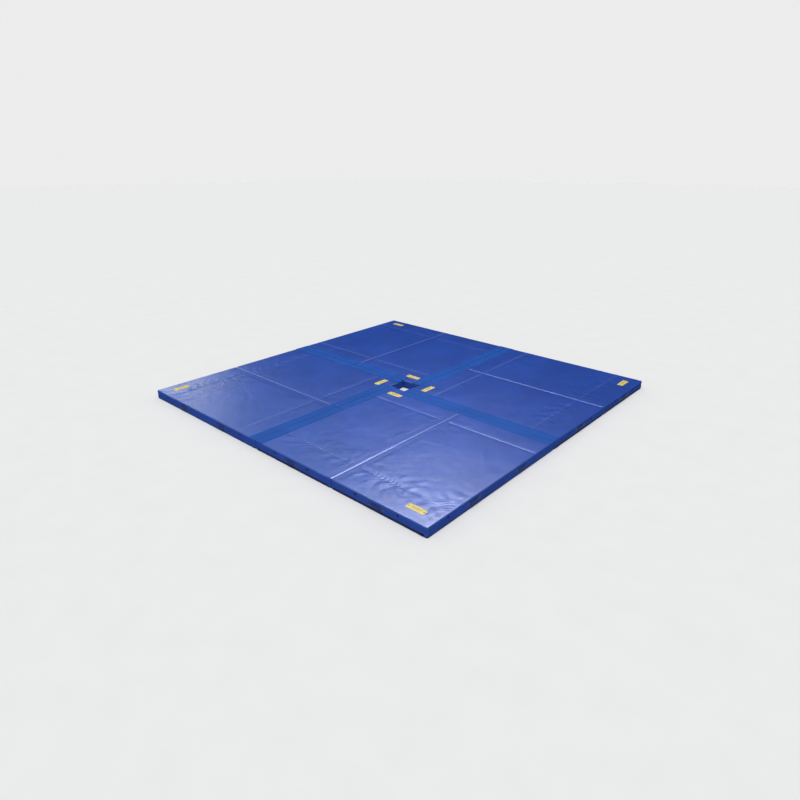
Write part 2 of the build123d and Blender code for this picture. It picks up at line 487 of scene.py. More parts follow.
def creases(x, y, seed):
    """A few long shallow creases, where the fabric has been folded and rolled."""
    total = 0.0
    for k in range(7):
        angle = math.pi * lattice(k, 3, seed)
        middle_x = FOLD + 1.2 * lattice(k, 5, seed)
        middle_y = MIDDLE_Y + 1.1 * lattice(k, 7, seed)
        along = (x - middle_x) * math.cos(angle) + (y - middle_y) * math.sin(angle)
        across = (y - middle_y) * math.cos(angle) - (x - middle_x) * math.sin(angle)
        across = across + 0.03 * noise(along / 0.35, float(k), seed + k)
        total = total + bump(along, 0.32) * bump(across, 0.012 + 0.004 * k) * (1 if k % 2 else -1)
    return total


def seam_ridge(d, rise, sink):
    """A sewn lap: sunk between the panels, with a raised welt in the middle of it."""
    return rise * bump(d, 0.0055) - sink * bump(d, 0.036)


def relief(x, y, half, index):
    """Height of the top over the flat, in metres."""
    seed = 10 * index + (0 if half == "inner" else 5)
    waves = 0.0016 * rough_noise(x / 0.46, y / 0.52, seed + 1)
    waves = waves + 0.0006 * rough_noise(x / 0.13, y / 0.15, seed + 2)
    swell = 0.0012 * (1 - bump(y - INNER_SEAM, 0.11) - bump(y - OUTER_SEAM, 0.11))
    lines = 0.0014 * creases(x, y, seed + 6)
    ridges = seam_ridge(y - INNER_SEAM, 0.0020, 0.0022) + seam_ridge(y - OUTER_SEAM, 0.0007, 0.0026)
    height = (waves + swell + folds(x, y, half, index) + lines) * quiet(x, y, half)
    to_fold, to_end = edge_distances(x, y, half)[:2]
    ends = smooth(to_fold, 0.02, 0.09) * smooth(to_end, 0.01, 0.06)
    return np.clip(height + ridges * ends, DEEPEST_RELIEF, HIGHEST_RELIEF)


# ---- covers

def rim_rows(low, high, radius):
    """Positions near both ends of a side that draw a quarter round there."""
    angles = np.radians((90, 68, 46, 24, 0))
    inset = radius * (1 - np.sin(angles))
    return np.concatenate([low + inset, high - inset])


def sampled(low, high, special, step):
    """Sorted positions across a side: rounded ends, fine stretches near the seams, and a grid."""
    rims = rim_rows(low, high, TOP_RADIUS)
    near = (0.0, 0.003, 0.006, 0.010, 0.016, 0.026)
    fine = [s + sign * d for s in special for d in near for sign in (-1, 1)]
    fixed = np.unique(np.round(np.concatenate([rims, fine]), 6))
    out = [fixed[0]]
    for a, b in zip(fixed, fixed[1:]):
        if b - a > 1.5 * step:
            out.extend(spread(a, b, step))
        out.append(b)
    return np.array(out)


def skin(xs, ys, zs):
    """A closed box surface: a grid on top, rings down the walls, long strips underneath.

    Gives the points, the faces and a mask of the points on top.
    """
    nx, ny = len(xs), len(ys)
    grid_x, grid_y = np.meshgrid(xs, ys, indexing="ij")
    top = np.stack([grid_x, grid_y, np.full_like(grid_x, zs[-1])], -1).reshape(-1, 3)
    around = [(i, 0) for i in range(nx)] + [(nx - 1, j) for j in range(1, ny)]
    around += [(i, ny - 1) for i in range(nx - 2, -1, -1)] + [(0, j) for j in range(ny - 2, 0, -1)]
    ring = [i * ny + j for i, j in around]
    size = len(ring)
    points, faces, upper = [top], grid_faces(nx, ny), ring
    count = len(top)
    for z in zs[-2::-1]:
        level = top[ring].copy()
        level[:, 2] = z
        points.append(level)
        lower = list(range(count, count + size))
        count += size
        for k in range(size):
            n = (k + 1) % size
            faces.append((lower[k], lower[n], upper[n], upper[k]))
        upper = lower
    at = {ij: upper[k] for k, ij in enumerate(around)}
    for i in range(1, nx - 2):
        faces.append((at[i, 0], at[i, ny - 1], at[i + 1, ny - 1], at[i + 1, 0]))
    left = [at[0, j] for j in range(ny)]
    right = [at[nx - 1, j] for j in range(ny)]
    faces.append(tuple(left + [at[1, ny - 1], at[1, 0]]))
    faces.append(tuple(right[::-1] + [at[nx - 2, 0], at[nx - 2, ny - 1]]))
    points = np.concatenate(points)
    return points, faces, np.arange(len(points)) < len(top)


def round_corners(points, low, high, radius):
    """Rounds the upright corners: a square corner patch becomes a quarter disc."""
    for_xy = points[:, :2]
    kept = np.clip(for_xy, np.array(low[:2]) + radius, np.array(high[:2]) - radius)
    out = for_xy - kept
    length = np.linalg.norm(out, axis=1)
    both = (np.abs(out) > 1e-9).all(1)
    scale = np.ones(len(points))
    scale[both] = np.abs(out[both]).max(1) / length[both]
    points[:, :2] = kept + out * scale[:, None]


def wall_depth(along, z, seed, handles, vents):
    """How far an exposed wall is pulled in: flat at its edges, its zipper, handles and vents."""
    rise = (z - WALL_WAVE_LOW) / (TOP - TOP_RADIUS - WALL_WAVE_LOW)
    height = np.sin(math.pi * np.clip(rise, 0, 1))
    depth = 0.0022 * (1 + 0.8 * rough_noise(along / 0.33, z / 0.09, seed))
    depth = depth + 0.0012 * rough_noise(along / 0.06, z / 0.12, seed + 1)
    for handle in handles:
        depth = depth * smooth(np.abs(along - handle), 0.135, 0.22)
    for vent in vents:
        depth = depth * smooth(np.abs(along - vent), 0.020, 0.065)
    return np.clip(depth * height, 0.0, 0.006)


def wall_wave(points, half, index, wall_rows):
    """Exposed walls pull in a little between what is sewn on them."""
    x, y, z = points.T
    seed = 10 * index + (2 if half == "inner" else 7)
    on_side = wall_rows & (np.abs(y - OUTER_SIDE) < 1e-4)
    middle = half_middle(half)
    vents = (middle - VENT_OFFSET, middle + VENT_OFFSET)
    points[on_side, 1] += wall_depth(x[on_side], z[on_side], seed, (middle,), vents)
    if half == "outer":
        on_end = wall_rows & (np.abs(x - OUTER_END) < 1e-4)
        handles = (MIDDLE_Y - END_HANDLE_OFFSET, MIDDLE_Y + END_HANDLE_OFFSET)
        vents = (MIDDLE_Y - END_VENT_OFFSET, MIDDLE_Y + END_VENT_OFFSET)
        points[on_end, 0] -= wall_depth(y[on_end], z[on_end], seed, handles, vents)


def cover_piece(half, index, material):
    """One half's sewn cover, as a closed soft form."""
    x0, x1 = half_range(half)
    xs = sampled(x0, x1, (), GRID_STEP_ALONG)
    ys = sampled(OUTER_SIDE, INNER_SIDE, SEAMS, GRID_STEP_ACROSS)
    low_rim = BOTTOM_RADIUS * (1 - np.cos(np.radians((0, 35, 65, 90))))
    zs = np.concatenate([low_rim, (0.02, 0.036, 0.054, 0.072, 0.090), [TOP - TOP_RADIUS]])
    points, faces, is_top = skin(xs, ys, zs)
    x, y = points[:, 0].copy(), points[:, 1].copy()
    low, high = (x0, OUTER_SIDE), (x1, INNER_SIDE)
    rim = rim_distance(x, y, low, high)
    inside = np.clip(TOP_RADIUS - rim, 0, TOP_RADIUS)
    crown = TOP - TOP_RADIUS + np.sqrt(TOP_RADIUS ** 2 - inside ** 2)
    points[is_top, 2] = crown[is_top] + relief(x[is_top], y[is_top], half, index)
    wall_wave(points, half, index, ~is_top)
    z = points[:, 2]
    below = BOTTOM_RADIUS - np.clip(z, 0, BOTTOM_RADIUS)
    tuck = BOTTOM_RADIUS - np.sqrt(BOTTOM_RADIUS ** 2 - below ** 2)
    tuck[is_top] = 0
    points[:, 0] = np.clip(points[:, 0], x0 + tuck, x1 - tuck)
    points[:, 1] = np.clip(points[:, 1], OUTER_SIDE + tuck, INNER_SIDE - tuck)
    round_corners(points, low, high, CORNER_RADIUS)
    # The seams are painted pale: partly wear, partly a painted highlight for the glint on their
    # raised welts.
    inner_line, outer_line = (bump(y - seam, SEAM_LINE) for seam in SEAMS)
    seam_wear_and_glint = (inner_line + OUTER_SEAM_SHARE * outer_line) * is_top
    seam_wear_and_glint = SEAM_WEAR_AND_GLINT[MATS[index]] * seam_wear_and_glint * smooth(rim, 0.004, 0.020)
    rub = smooth(bump(rim - 0.006, 0.007), 0.2, 1.0) * is_top
    # base: the dark base fabric up the foot of the walls, which also paints the contact shade
    # there.
    attributes = {"seam": seam_wear_and_glint, "rub": rub, "base": smooth(z, 0.011, 0.007)}
    name = f"{MATS[index]}_{half}_half"
    piece = new_mesh(name, turned(points, index), faces, material, attributes)
    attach(piece, body_of_half(half, index))
    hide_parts(f"{MATS[index]}_{half}_cover")
    return piece


def body_of_half(half, index):
    return ROOT if half == "inner" else f"{MATS[index]}_outer_half"


def finish_piece(piece, body, slot_name, *nodes):
    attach(piece, body)
    if nodes:
        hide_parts(*nodes)
    return piece


def on_every_half(part, kinds, nodes, slot_name, material):
    """The same part on every half: a piece for each outer half, and one for all the inner halves.

    part(half, index) gives the points, faces and attributes of the part on the front mat, with the
    relief of the mat of that index. kinds and nodes are the endings of the names of the pieces and
    of the nodes that they replace, first for the outer and then for the inner halves.
    """
    pieces = []
    for index, mat in enumerate(MATS):
        points, faces, marks = part("outer", index)
        piece = new_mesh(f"{mat}_outer_{kinds[0]}", turned(points, index), faces, material, marks)
        replaced = [f"{mat}_outer_{nodes[0]}"] if nodes else []
        pieces.append(finish_piece(piece, body_of_half("outer", index), slot_name, *replaced))
    parts = [part("inner", index) for index in range(len(MATS))]
    points, faces = joined([(turned(p[0], index), p[1]) for index, p in enumerate(parts)])
    marks = {key: np.concatenate([p[2][key] for p in parts]) for key in parts[0][2]}
    piece = new_mesh(f"inner_{kinds[1]}", points, faces, material, marks)
    replaced = [f"inner_{nodes[1]}"] if nodes else []
    return pieces + [finish_piece(piece, ROOT, slot_name, *replaced)]


# ---- foam

def foam_slab(half, low_z, high_z):
    """A foam block inside one half's cover."""
    x0, x1 = half_range(half)
    low = (x0 + FOAM_INSET, OUTER_SIDE + FOAM_INSET)
    high = (x1 - FOAM_INSET, INNER_SIDE - FOAM_INSET)
    xs, ys = (
        np.concatenate([[a, a + FOAM_RADIUS], spread(a, b, FOAM_STEP), [b - FOAM_RADIUS, b]])
        for a, b in zip(low, high)
    )
    zs = np.array([low_z, low_z + FOAM_RADIUS, high_z - FOAM_RADIUS])
    points, faces, is_top = skin(xs, ys, zs)
    rim = rim_distance(points[:, 0], points[:, 1], low, high)
    points[is_top & (rim > FOAM_RADIUS * 0.5), 2] = high_z
    round_corners(points, low, high, CORNER_RADIUS)
    return points, faces, {}


def foam_pieces(soft, firm):
    """Soft cores and firm layers."""
    layers = (
        ("soft_core", FOAM_BOTTOM, FOAM_SPLIT, soft, "soft_foam"),
        ("firm_layer", FOAM_SPLIT, FOAM_TOP, firm, "firm_foam"),
    )
    for kind, low_z, high_z, material, slot_name in layers:
        pieces = on_every_half(
            lambda half, index: foam_slab(half, low_z, high_z),
            (f"{kind}_foam", f"{kind}s_foam"),
            (kind, f"{kind}s"),
            slot_name,
            material,
        )


# ---- fold strips

def fold_profile():
    """Across the fold: flat on both halves, dipping into the groove, with a creased middle."""
    across = np.array((-1, -0.97, -0.9, -0.6, -0.36, -0.25, -0.17, -0.11, -0.06, -0.025))
    across = FOLD_STRIP_HALF * np.concatenate([across, [0.0], -across[::-1]])
    dip = 0.0052 * bump(across, 0.0085)
    bead = 0.0009 * bump(across, 0.0030)
    hem = 0.0007 * bump(np.abs(across) - 0.93 * FOLD_STRIP_HALF, 0.0035)
    return across, 0.0004 + SHEET - dip + bead + hem


def fold_strip(index, material):
    """The living hinge: one sheet sewn across both halves, made here in its open shape; on the mat
    it bends as the mat folds.
    """
    across, lift = fold_profile()
    along = np.linspace(OUTER_SIDE + 0.018, INNER_SIDE - 0.018, 150)
    ripple = 0.0006 * noise(along / 0.09, 0.0, index + 30)[None, :] * bump(across, 0.02)[:, None]
    grid = grid_of(FOLD + across[:, None], along[None, :], TOP + lift[:, None] + ripple)
    points, faces = thin_sheet(grid, SHEET * 0.7)
    marks = {
        # Pale along the crease: stress whitening, and a painted highlight for the crease's glint.
        "seam": sheet_rows(bump(across, 0.0042), len(along)),
        "rub": sheet_rows(bump(np.abs(across) - 0.93 * FOLD_STRIP_HALF, 0.003), len(along)),
    }
    piece = new_mesh(f"{MATS[index]}_fold_hinge", turned(points, index), faces, material, marks)
    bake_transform(piece)
    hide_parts(f"{MATS[index]}_fold_strip")
    return piece


# ---- joining flaps

def flap_range(half):
    return (flap_low.x, flap_high.x) if half == "inner" else (outer_flap_low.x, outer_flap_high.x)


def flap_profile():
    """Across a joint: sewn on its own mat, creased over the joint, then flat on the next mat."""
    base = (-1, -0.985, -0.95, -0.9, -0.7, -0.45, -0.25)
    valley = (0.01, 0.025, 0.045, 0.065, 0.09, 0.12, 0.16)
    free = (0.25, 0.45, 0.6, 0.75, 0.9, 0.95, 0.985, 1)
    across = FLAP_WIDTH * np.sort([*base, *np.negative(valley), *valley, *free])[::-1]
    lift = FLAP_BASE_LIFT + (FLAP_FREE_LIFT - FLAP_BASE_LIFT) * smooth(across, 0.004, 0.022)
    crease = VALLEY_DEPTH * bump(across + FLAP_BEND, 0.0014)
    hem = 0.0006 * bump(np.abs(across) - 0.95 * FLAP_WIDTH, 0.0045)
    return across, lift - crease + SHEET + hem


def flap(half, index, material):
    """A joining flap with the part of it that is sewn on its own mat."""
    x0, x1 = flap_range(half)
    across, lift = flap_profile()
    along = np.linspace(x0, x1, round((x1 - x0) / 0.018))
    seed = 40 + 3 * index + HALVES.index(half)
    v, u = np.meshgrid(across, along, indexing="ij")
    wave = noise(u / 0.11, v / 0.08, seed) + noise(u / 0.045, v / 0.06, seed + 1)
    loose = smooth(np.abs(v), 0.012, 0.04) * smooth(FLAP_WIDTH - np.abs(v), 0.0, 0.03)
    pinch = 0.0009 * np.cos(2 * math.pi * u / 0.052 + 2 * wave) * bump(v, 0.02)
    z = TOP + lift[:, None] + 0.0006 * (1 + wave) * loose + np.abs(pinch)
    points, faces = thin_sheet(grid_of(u, INNER_SIDE + v, z), SHEET)
    # groove: painted shade along the flap's crease over the joint.
    marks = {"groove": sheet_rows(bump(across, 0.006), len(along))}
    name = f"{MATS[index]}_{half}_joining_flap"
    piece = new_mesh(name, turned(points, index), faces, material, marks)
    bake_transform(piece)
    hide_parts(f"{MATS[index]}_{half}_flap")
    return piece


def hook_strip(half, index, material):
    """The hook tape under a flap's free edge."""
    x0, x1 = flap_range(half)
    outer_edge = INNER_SIDE + FLAP_WIDTH - TAPE_MARGIN
    along = np.linspace(x0 + 0.012, x1 - 0.012, 60)
    across = np.linspace(outer_edge, outer_edge - TAPE_WIDTH, 5)
    z = TOP + FLAP_FREE_LIFT - 0.00005
    points, faces = thin_sheet(grid_of(along[None, :], across[:, None], z), 0.0003)
    piece = new_mesh(f"{MATS[index]}_{half}_hook_tape", turned(points, index), faces, material)
    return finish_piece(piece, f"{MATS[index]}_{half}_flap", "loop_pile")


def loop_strips(material):
    """The loop tapes on the inner ends that the flaps hold on to."""
    edge = INNER_SIDE + FLAP_WIDTH - TAPE_MARGIN
    along = np.linspace(flap_low.x + 0.010, OUTER_END - 0.010, 130)
    across = np.linspace(edge, edge - TAPE_WIDTH, 7)
    nap = 0.0002 * noise(along[None, :] / 0.01, across[:, None] / 0.01, 77)
    points, faces = thin_sheet(grid_of(along[None, :], across[:, None], TOP + 0.0008 + nap), 0.0007)
    parts = [(turned(points, index), faces) for index in range(len(MATS))]
    piece = new_mesh("loop_tapes", *joined(parts), material)
    finish_piece(piece, ROOT, "loop_pile", "loop_strips")


# ---- labels

def label_patch(half, index):
    """A rounded patch that follows the top, with the attributes that its print needs."""
    reach = (label_high.xy - label_low.xy) / 2
    if half == "outer":
        centre = (label_low.xy + label_high.xy) / 2
    else:
        centre = Vector((INNER_END + INNER_LABEL_INSET[0], INNER_SIDE - INNER_LABEL_INSET[1]))
    us = np.linspace(-reach.x, reach.x, 49)
    vs = np.linspace(-reach.y, reach.y, 21)
    flat = grid_of(us[:, None], vs[None, :], 0.0)
    shape = flat.shape[:2]
    flat = flat.reshape(-1, 3)
    round_corners(flat, -reach, reach, LABEL_CORNER)
    u, v = flat[:, 0].reshape(shape), flat[:, 1].reshape(shape)
    x, y = centre.x + u, centre.y + v
    edge = np.minimum(reach.x - np.abs(u), reach.y - np.abs(v))
    swell = 0.0005 * smooth(edge, 0.0, 0.006) - 0.0003 * bump(edge - 0.005, 0.0015)
    z = TOP + relief(x, y, half, index) + LABEL_LIFT + swell
    points, faces = thin_sheet(grid_of(x, y, z), 0.0008)
    marks = {"u": u, "v": v, "edge": edge}
    return points, faces, {key: np.tile(value.ravel(), 2) for key, value in marks.items()}


# ---- handles

def strap():
    """A webbing handle on a wall in the plane Y = 0, outside it at Y < 0, about X = 0, Z = 0."""
    u = np.linspace(-HANDLE_LENGTH / 2, HANDLE_LENGTH / 2, 61)
    stand_off = HANDLE_BOW * smooth(HANDLE_LENGTH / 2 - np.abs(u), HANDLE_TAB, HANDLE_TAB + 0.032)
    stand_off = stand_off + 0.0012 * np.cos(math.pi * u / 0.11) * (stand_off > 0.5 * HANDLE_BOW)
    v = HANDLE_HEIGHT / 2 * np.array((1, 0.94, 0.5, 0, -0.5, -0.94, -1))
    edge_inset = 0.0005 * (np.abs(v) > 0.49 * HANDLE_HEIGHT)
    y = edge_inset[:, None] - WEBBING - stand_off[None, :]
    return thin_sheet(grid_of(u[None, :], y, v[:, None]), WEBBING)


def box_stitches():
    """Thread round and across each sewn tab of a handle."""
    middles, directions = [], []
    x, z = HANDLE_TAB / 2 - 0.005, HANDLE_HEIGHT / 2 - 0.004
    corners = [(-x, -z), (x, -z), (x, z), (-x, z)]
    diagonals = [(corners[0], corners[2]), (corners[1], corners[3])]
    lines = list(zip(corners, corners[1:] + corners[:1])) + diagonals
    for side in (-1, 1):
        tab_middle = side * (HANDLE_LENGTH / 2 - HANDLE_TAB / 2)
        for (x0, z0), (x1, z1) in lines:
            length = math.hypot(x1 - x0, z1 - z0)
            count = round(length / 0.004)
            for k in range(count):
                t = (k + 0.5) / count
                x, z = x0 + (x1 - x0) * t, z0 + (z1 - z0) * t
                middles.append((tab_middle + x, -WEBBING - 0.0003, z))
                directions.append(((x1 - x0) / length, 0, (z1 - z0) / length))
    return bars(middles, directions, (0, -1, 0), (0.0029, 0.0009, 0.0006))


def on_long_side(points, x, z):
    return np.asarray(points) + (x, OUTER_SIDE, z)


def on_outer_end(points, y, z):
    return turned(points, 1) + (OUTER_END, y, z)


def half_middle(half):
    return sum(half_range(half)) / 2


def wall_pieces(part, kind, node_kind, slot_name, material, places):
    """A wall piece repeated along each long side and, on an outer half, along the outer end."""
    points, faces = part
    long_side_x, end_y, z = places

    def copies(half, index):
        found = [(on_long_side(points, half_middle(half) + x, z), faces) for x in long_side_x]
        if half == "outer":
            found += [(on_outer_end(points, MIDDLE_Y + y, z), faces) for y in end_y]
        return (*joined(found), {})

    on_every_half(copies, (kind, kind), (node_kind, node_kind), slot_name, material)


def vent_rim():
    """A moulded ring on a wall in the plane Y = 0."""
    turns = np.linspace(0, 2 * math.pi, 33)[:-1]
    outside = [(0.0142, 0.0), (0.0142, 0.0012), (0.0134, 0.0022)]
    profile = outside + [(0.0122, 0.0023), (0.0114, 0.0016), (0.0112, 0.0004)]
    points = [(r * math.cos(t), -depth, r * math.sin(t)) for t in turns for r, depth in profile]
    sides, rings = len(profile), len(turns)
    faces = []
    for i in range(rings):
        for k in range(sides):
            a, b = i * sides + k, i * sides + (k + 1) % sides
            n = (i + 1) % rings * sides
            faces.append((a, b, n + (k + 1) % sides, n + k))
    return np.array(points), faces


def vent_mesh():
    """Crossed wires behind the rim."""
    parts = []
    radius = 0.0116
    for offset in np.arange(-0.010, 0.0101, 0.002):
        half = math.sqrt(radius ** 2 - offset ** 2)
        level = [(-half, -0.0008, offset), (0, -0.0009, offset), (half, -0.0008, offset)]
        upright = [(offset, -0.0006, -half), (offset, -0.0007, 0), (offset, -0.0006, half)]
        parts += [tube(level, 0.00035, 5), tube(upright, 0.00035, 5)]
    return joined(parts)


# ---- zippers

def zip_tape(half, index):
    """The tape of a zipper on a long side."""
    x = half_middle(half)
    along = np.linspace(x - ZIP_LENGTH / 2, x + ZIP_LENGTH / 2, 160)
    rise = ZIP_TAPE_HEIGHT / 2 * np.array((1, 0.9, 0.28, 0.1, -0.1, -0.28, -0.9, -1))
    y = OUTER_SIDE - 0.0009 - 0.0005 * bump(rise, 0.003)
    grid = grid_of(along[None, :], y[:, None], ZIP_Z + rise[:, None])
    return (*thin_sheet(grid, 0.0008), {})


def zip_teeth(half, index):
    """Coil teeth in two meshed rows."""
    x = half_middle(half)
    along = np.arange(x - ZIP_LENGTH / 2 + 0.006, x + ZIP_LENGTH / 2 - 0.006, ZIP_PITCH)
    wall = np.full_like(along, OUTER_SIDE - 0.0018)
    rows = []
    for shift, rise in ((0.0, -0.0012), (ZIP_PITCH / 2, 0.0012)):
        middles = np.stack([along + shift, wall, np.full_like(along, ZIP_Z + rise)], 1)
        rows.append(bars(middles, (0, 0, 1), (0, -1, 0), (0.0036, 0.0014, 0.0013)))
    return (*joined(rows), {})


# ---- seams and piping

def seam_threads(half, index):
    """Two rows of stitches along each panel seam, following the relief."""
    x0, x1 = half_range(half)
    along = np.arange(x0 + 0.03, x1 - 0.02, STITCH_PITCH)
    rows = []
    for seam in SEAMS:
        for side in (-1, 1):
            y = np.full_like(along, seam + side * 0.0085)
            z = TOP + relief(along, y, half, index) + 0.0002
            middles = np.stack([along, y, z], 1)
            rows.append(bars(middles, (1, 0, 0), (0, 0, 1), STITCH_SIZE))
    return (*joined(rows), {})


def edge_path(half):
    """Along the exposed top edges, at the middle of the rounding."""
    inset = TOP_RADIUS * (1 - math.sqrt(0.5)) - 0.0006
    x0, x1 = half_range(half)
    y = OUTER_SIDE + inset
    z = TOP - inset
    start = x0 + 0.006
    if half == "inner":
        return [(x, y, z) for x in np.linspace(start, x1 - 0.006, 80)]
    centre_x, centre_y = x1 - inset - CORNER_RADIUS, y + CORNER_RADIUS
    side = [(x, y, z) for x in np.linspace(start, centre_x, 80)]
    corner = [
        (centre_x + CORNER_RADIUS * math.cos(angle), centre_y + CORNER_RADIUS * math.sin(angle), z)
        for angle in np.radians(np.linspace(-80, -10, 8))
    ]
    end = [(x1 - inset, y, z) for y in np.linspace(centre_y, INNER_SIDE - 0.006, 120)]
    return side + corner + end


def edge_welt(half, index):
    """A thin welt sewn in along the exposed top edges."""
    return (*tube(edge_path(half), PIPING_RADIUS), {})


# ---- materials

# Pale worn vinyl; on the seams and the fold crease it is also a painted highlight.
PALE_WEAR_AND_GLINT = (0.18, 0.27, 0.60)
# Dark non-slip base fabric; up the foot of the walls it also paints the contact shade.
BASE_FABRIC_AND_FOOT_SHADE = (0.010, 0.014, 0.045)
BLACK, WHITE = (0.0, 0.0, 0.0), (1.0, 1.0, 1.0)


def feed(tree, socket, value):
    """Gives a socket a link, a colour or a number."""
    if isinstance(value, bpy.types.NodeSocket):
        tree.links.new(value, socket)
    elif isinstance(value, tuple) and socket.type == "RGBA":
        socket.default_value = (*value, 1.0)
    else:
        socket.default_value = value


def node(tree, kind, inputs, **settings):
    """A new node, with its inputs as a dictionary of links, colours or numbers."""
    made = tree.nodes.new(kind)
    for key, value in settings.items():
        setattr(made, key, value)
    for key, value in inputs.items():
        feed(tree, made.inputs[key], value)
    return made


def shader(name):
    """A new material, as (material, node tree, positions in the piece's own space)."""
    material = bpy.data.materials.new(name)
    material.use_nodes = True
    tree = material.node_tree
    return material, tree, node(tree, "ShaderNodeTexCoord", {}).outputs["Object"]


def finished(material, base, roughness, bumps, **more):
    """Sets a material's colour, roughness and chained bumps: (height, strength, distance)."""
    tree = material.node_tree
    inputs = tree.nodes["Principled BSDF"].inputs
    values = {"Base Color": base, "Roughness": roughness}
    values.update({key.replace("_", " "): value for key, value in more.items()})
    for height, strength, distance in bumps:
        chain = {"Height": height, "Strength": strength, "Distance": distance}
        if "Normal" in values:
            chain["Normal"] = values["Normal"]
        values["Normal"] = node(tree, "ShaderNodeBump", chain).outputs["Normal"]
    for key, value in values.items():
        feed(tree, inputs[key], value)
    return material


def noise_node(tree, vector, scale, detail=3.0, rough=0.5):
    inputs = {"Vector": vector, "Scale": scale, "Detail": detail, "Roughness": rough}
    return node(tree, "ShaderNodeTexNoise", inputs).outputs["Fac"]


def cell_node(tree, vector, scale):
    inputs = {"Vector": vector, "Scale": scale}
    return node(tree, "ShaderNodeTexVoronoi", inputs).outputs["Distance"]


def ramp(tree, value, low, high, start=BLACK, end=WHITE):
    """A colour ramp from start, at low, to end, at high."""
    made = node(tree, "ShaderNodeValToRGB", {"Fac": value})
    for element, position, colour in zip(made.color_ramp.elements, (low, high), (start, end)):
        element.position = position
        element.color = (*colour, 1.0)
    return made.outputs["Color"]


def shaded(colour, share):
    return tuple(share * c for c in colour)


def mixed(tree, factor, a, b):
    """Mixes two colours; a and b are links or colours, factor a link or a number."""
    return node(tree, "ShaderNodeMix", {0: factor, 6: a, 7: b}, data_type="RGBA").outputs[2]


def maths(tree, operation, *values):
    return node(tree, "ShaderNodeMath", dict(enumerate(values)), operation=operation).outputs[0]


def attribute(tree, name, strength=1.0):
    value = node(tree, "ShaderNodeAttribute", {}, attribute_name=name).outputs["Fac"]
    return value if strength == 1.0 else maths(tree, "MULTIPLY", value, strength)


def weave_height(tree, where, pitch):
    """A fine plain weave, as a height: threads in every direction."""
    inputs = {"Vector": where, "Scale": 0.314 / pitch}
    waves = [node(tree, "ShaderNodeTexWave", inputs, bands_direction=way) for way in "XYZ"]
    x, y, z = (wave.outputs["Fac"] for wave in waves)
    return maths(tree, "ADD", maths(tree, "ADD", x, y), z)


def vinyl(name, colour, roughness, specular=0.5, seam=0.0, rub=0.0, groove=0.0):
    """PVC-coated polyester: the weave of its scrim and faint blotches, paler where worn, with
    painted highlight and shade.
    """
    material, tree, where = shader(name)
    patches = ramp(tree, noise_node(tree, where, 1.7, 4.0, 0.6), 0.32, 0.68)
    base = mixed(tree, patches, shaded(colour, 0.88), shaded(colour, 1.10))
    # Seams get pale wear with a painted highlight, and creases a painted shade.
    painted_crease_shade = shaded(colour, 0.35)
    for key, strength, tint in (("seam", seam, PALE_WEAR_AND_GLINT), ("rub", rub, PALE_WEAR_AND_GLINT), ("groove", groove, painted_crease_shade)):
        if strength:
            base = mixed(tree, attribute(tree, key, strength), base, tint)
    # Dark base fabric at the foot, which also paints the contact shade along the bottom of the
    # walls.
    base = mixed(tree, attribute(tree, "base"), base, BASE_FABRIC_AND_FOOT_SHADE)
    uneven = maths(tree, "MULTIPLY", noise_node(tree, where, 6.0, 2.0, 0.5), 0.10)
    rough = maths(tree, "ADD", uneven, roughness - 0.05)
    grain = noise_node(tree, where, 500.0, 2.0, 0.5)
    bumps = ((weave_height(tree, where, 0.0016), 0.12, 0.0002), (grain, 0.15, 0.0003))
    return finished(material, base, rough, bumps, Specular_IOR_Level=specular)


def plain_woven(name, colour, roughness, weave_scale, sheen=0.05):
    """Woven nylon: a fine basket weave with uneven colour."""
    material, tree, where = shader(name)
    fade = ramp(tree, noise_node(tree, where, 30.0, 3.0, 0.6), 0.3, 0.7)
    weave = cell_node(tree, where, weave_scale)
    base = mixed(tree, fade, shaded(colour, 0.75), colour)
    base = mixed(tree, weave, base, shaded(colour, 0.55))
    return finished(material, base, roughness, ((weave, 0.5, 0.0005),), Sheen_Weight=sheen)


def foam(name, colour, cell_scale):
    """Cut foam with open cells."""
    material, tree, where = shader(name)
    cells = cell_node(tree, where, cell_scale)
    base = mixed(tree, noise_node(tree, where, 5.0, 4.0, 0.6), shaded(colour, 0.85), colour)
    pores = ramp(tree, cells, 0.0, 0.4, (0.5, 0.5, 0.5), BLACK)
    base = mixed(tree, pores, base, shaded(colour, 0.5))
    return finished(material, base, 0.95, ((cells, 0.6, 0.001),))


def within(tree, value, reach):
    """1 where a value is between -reach and reach."""
    return maths(tree, "LESS_THAN", maths(tree, "ABSOLUTE", value), reach)


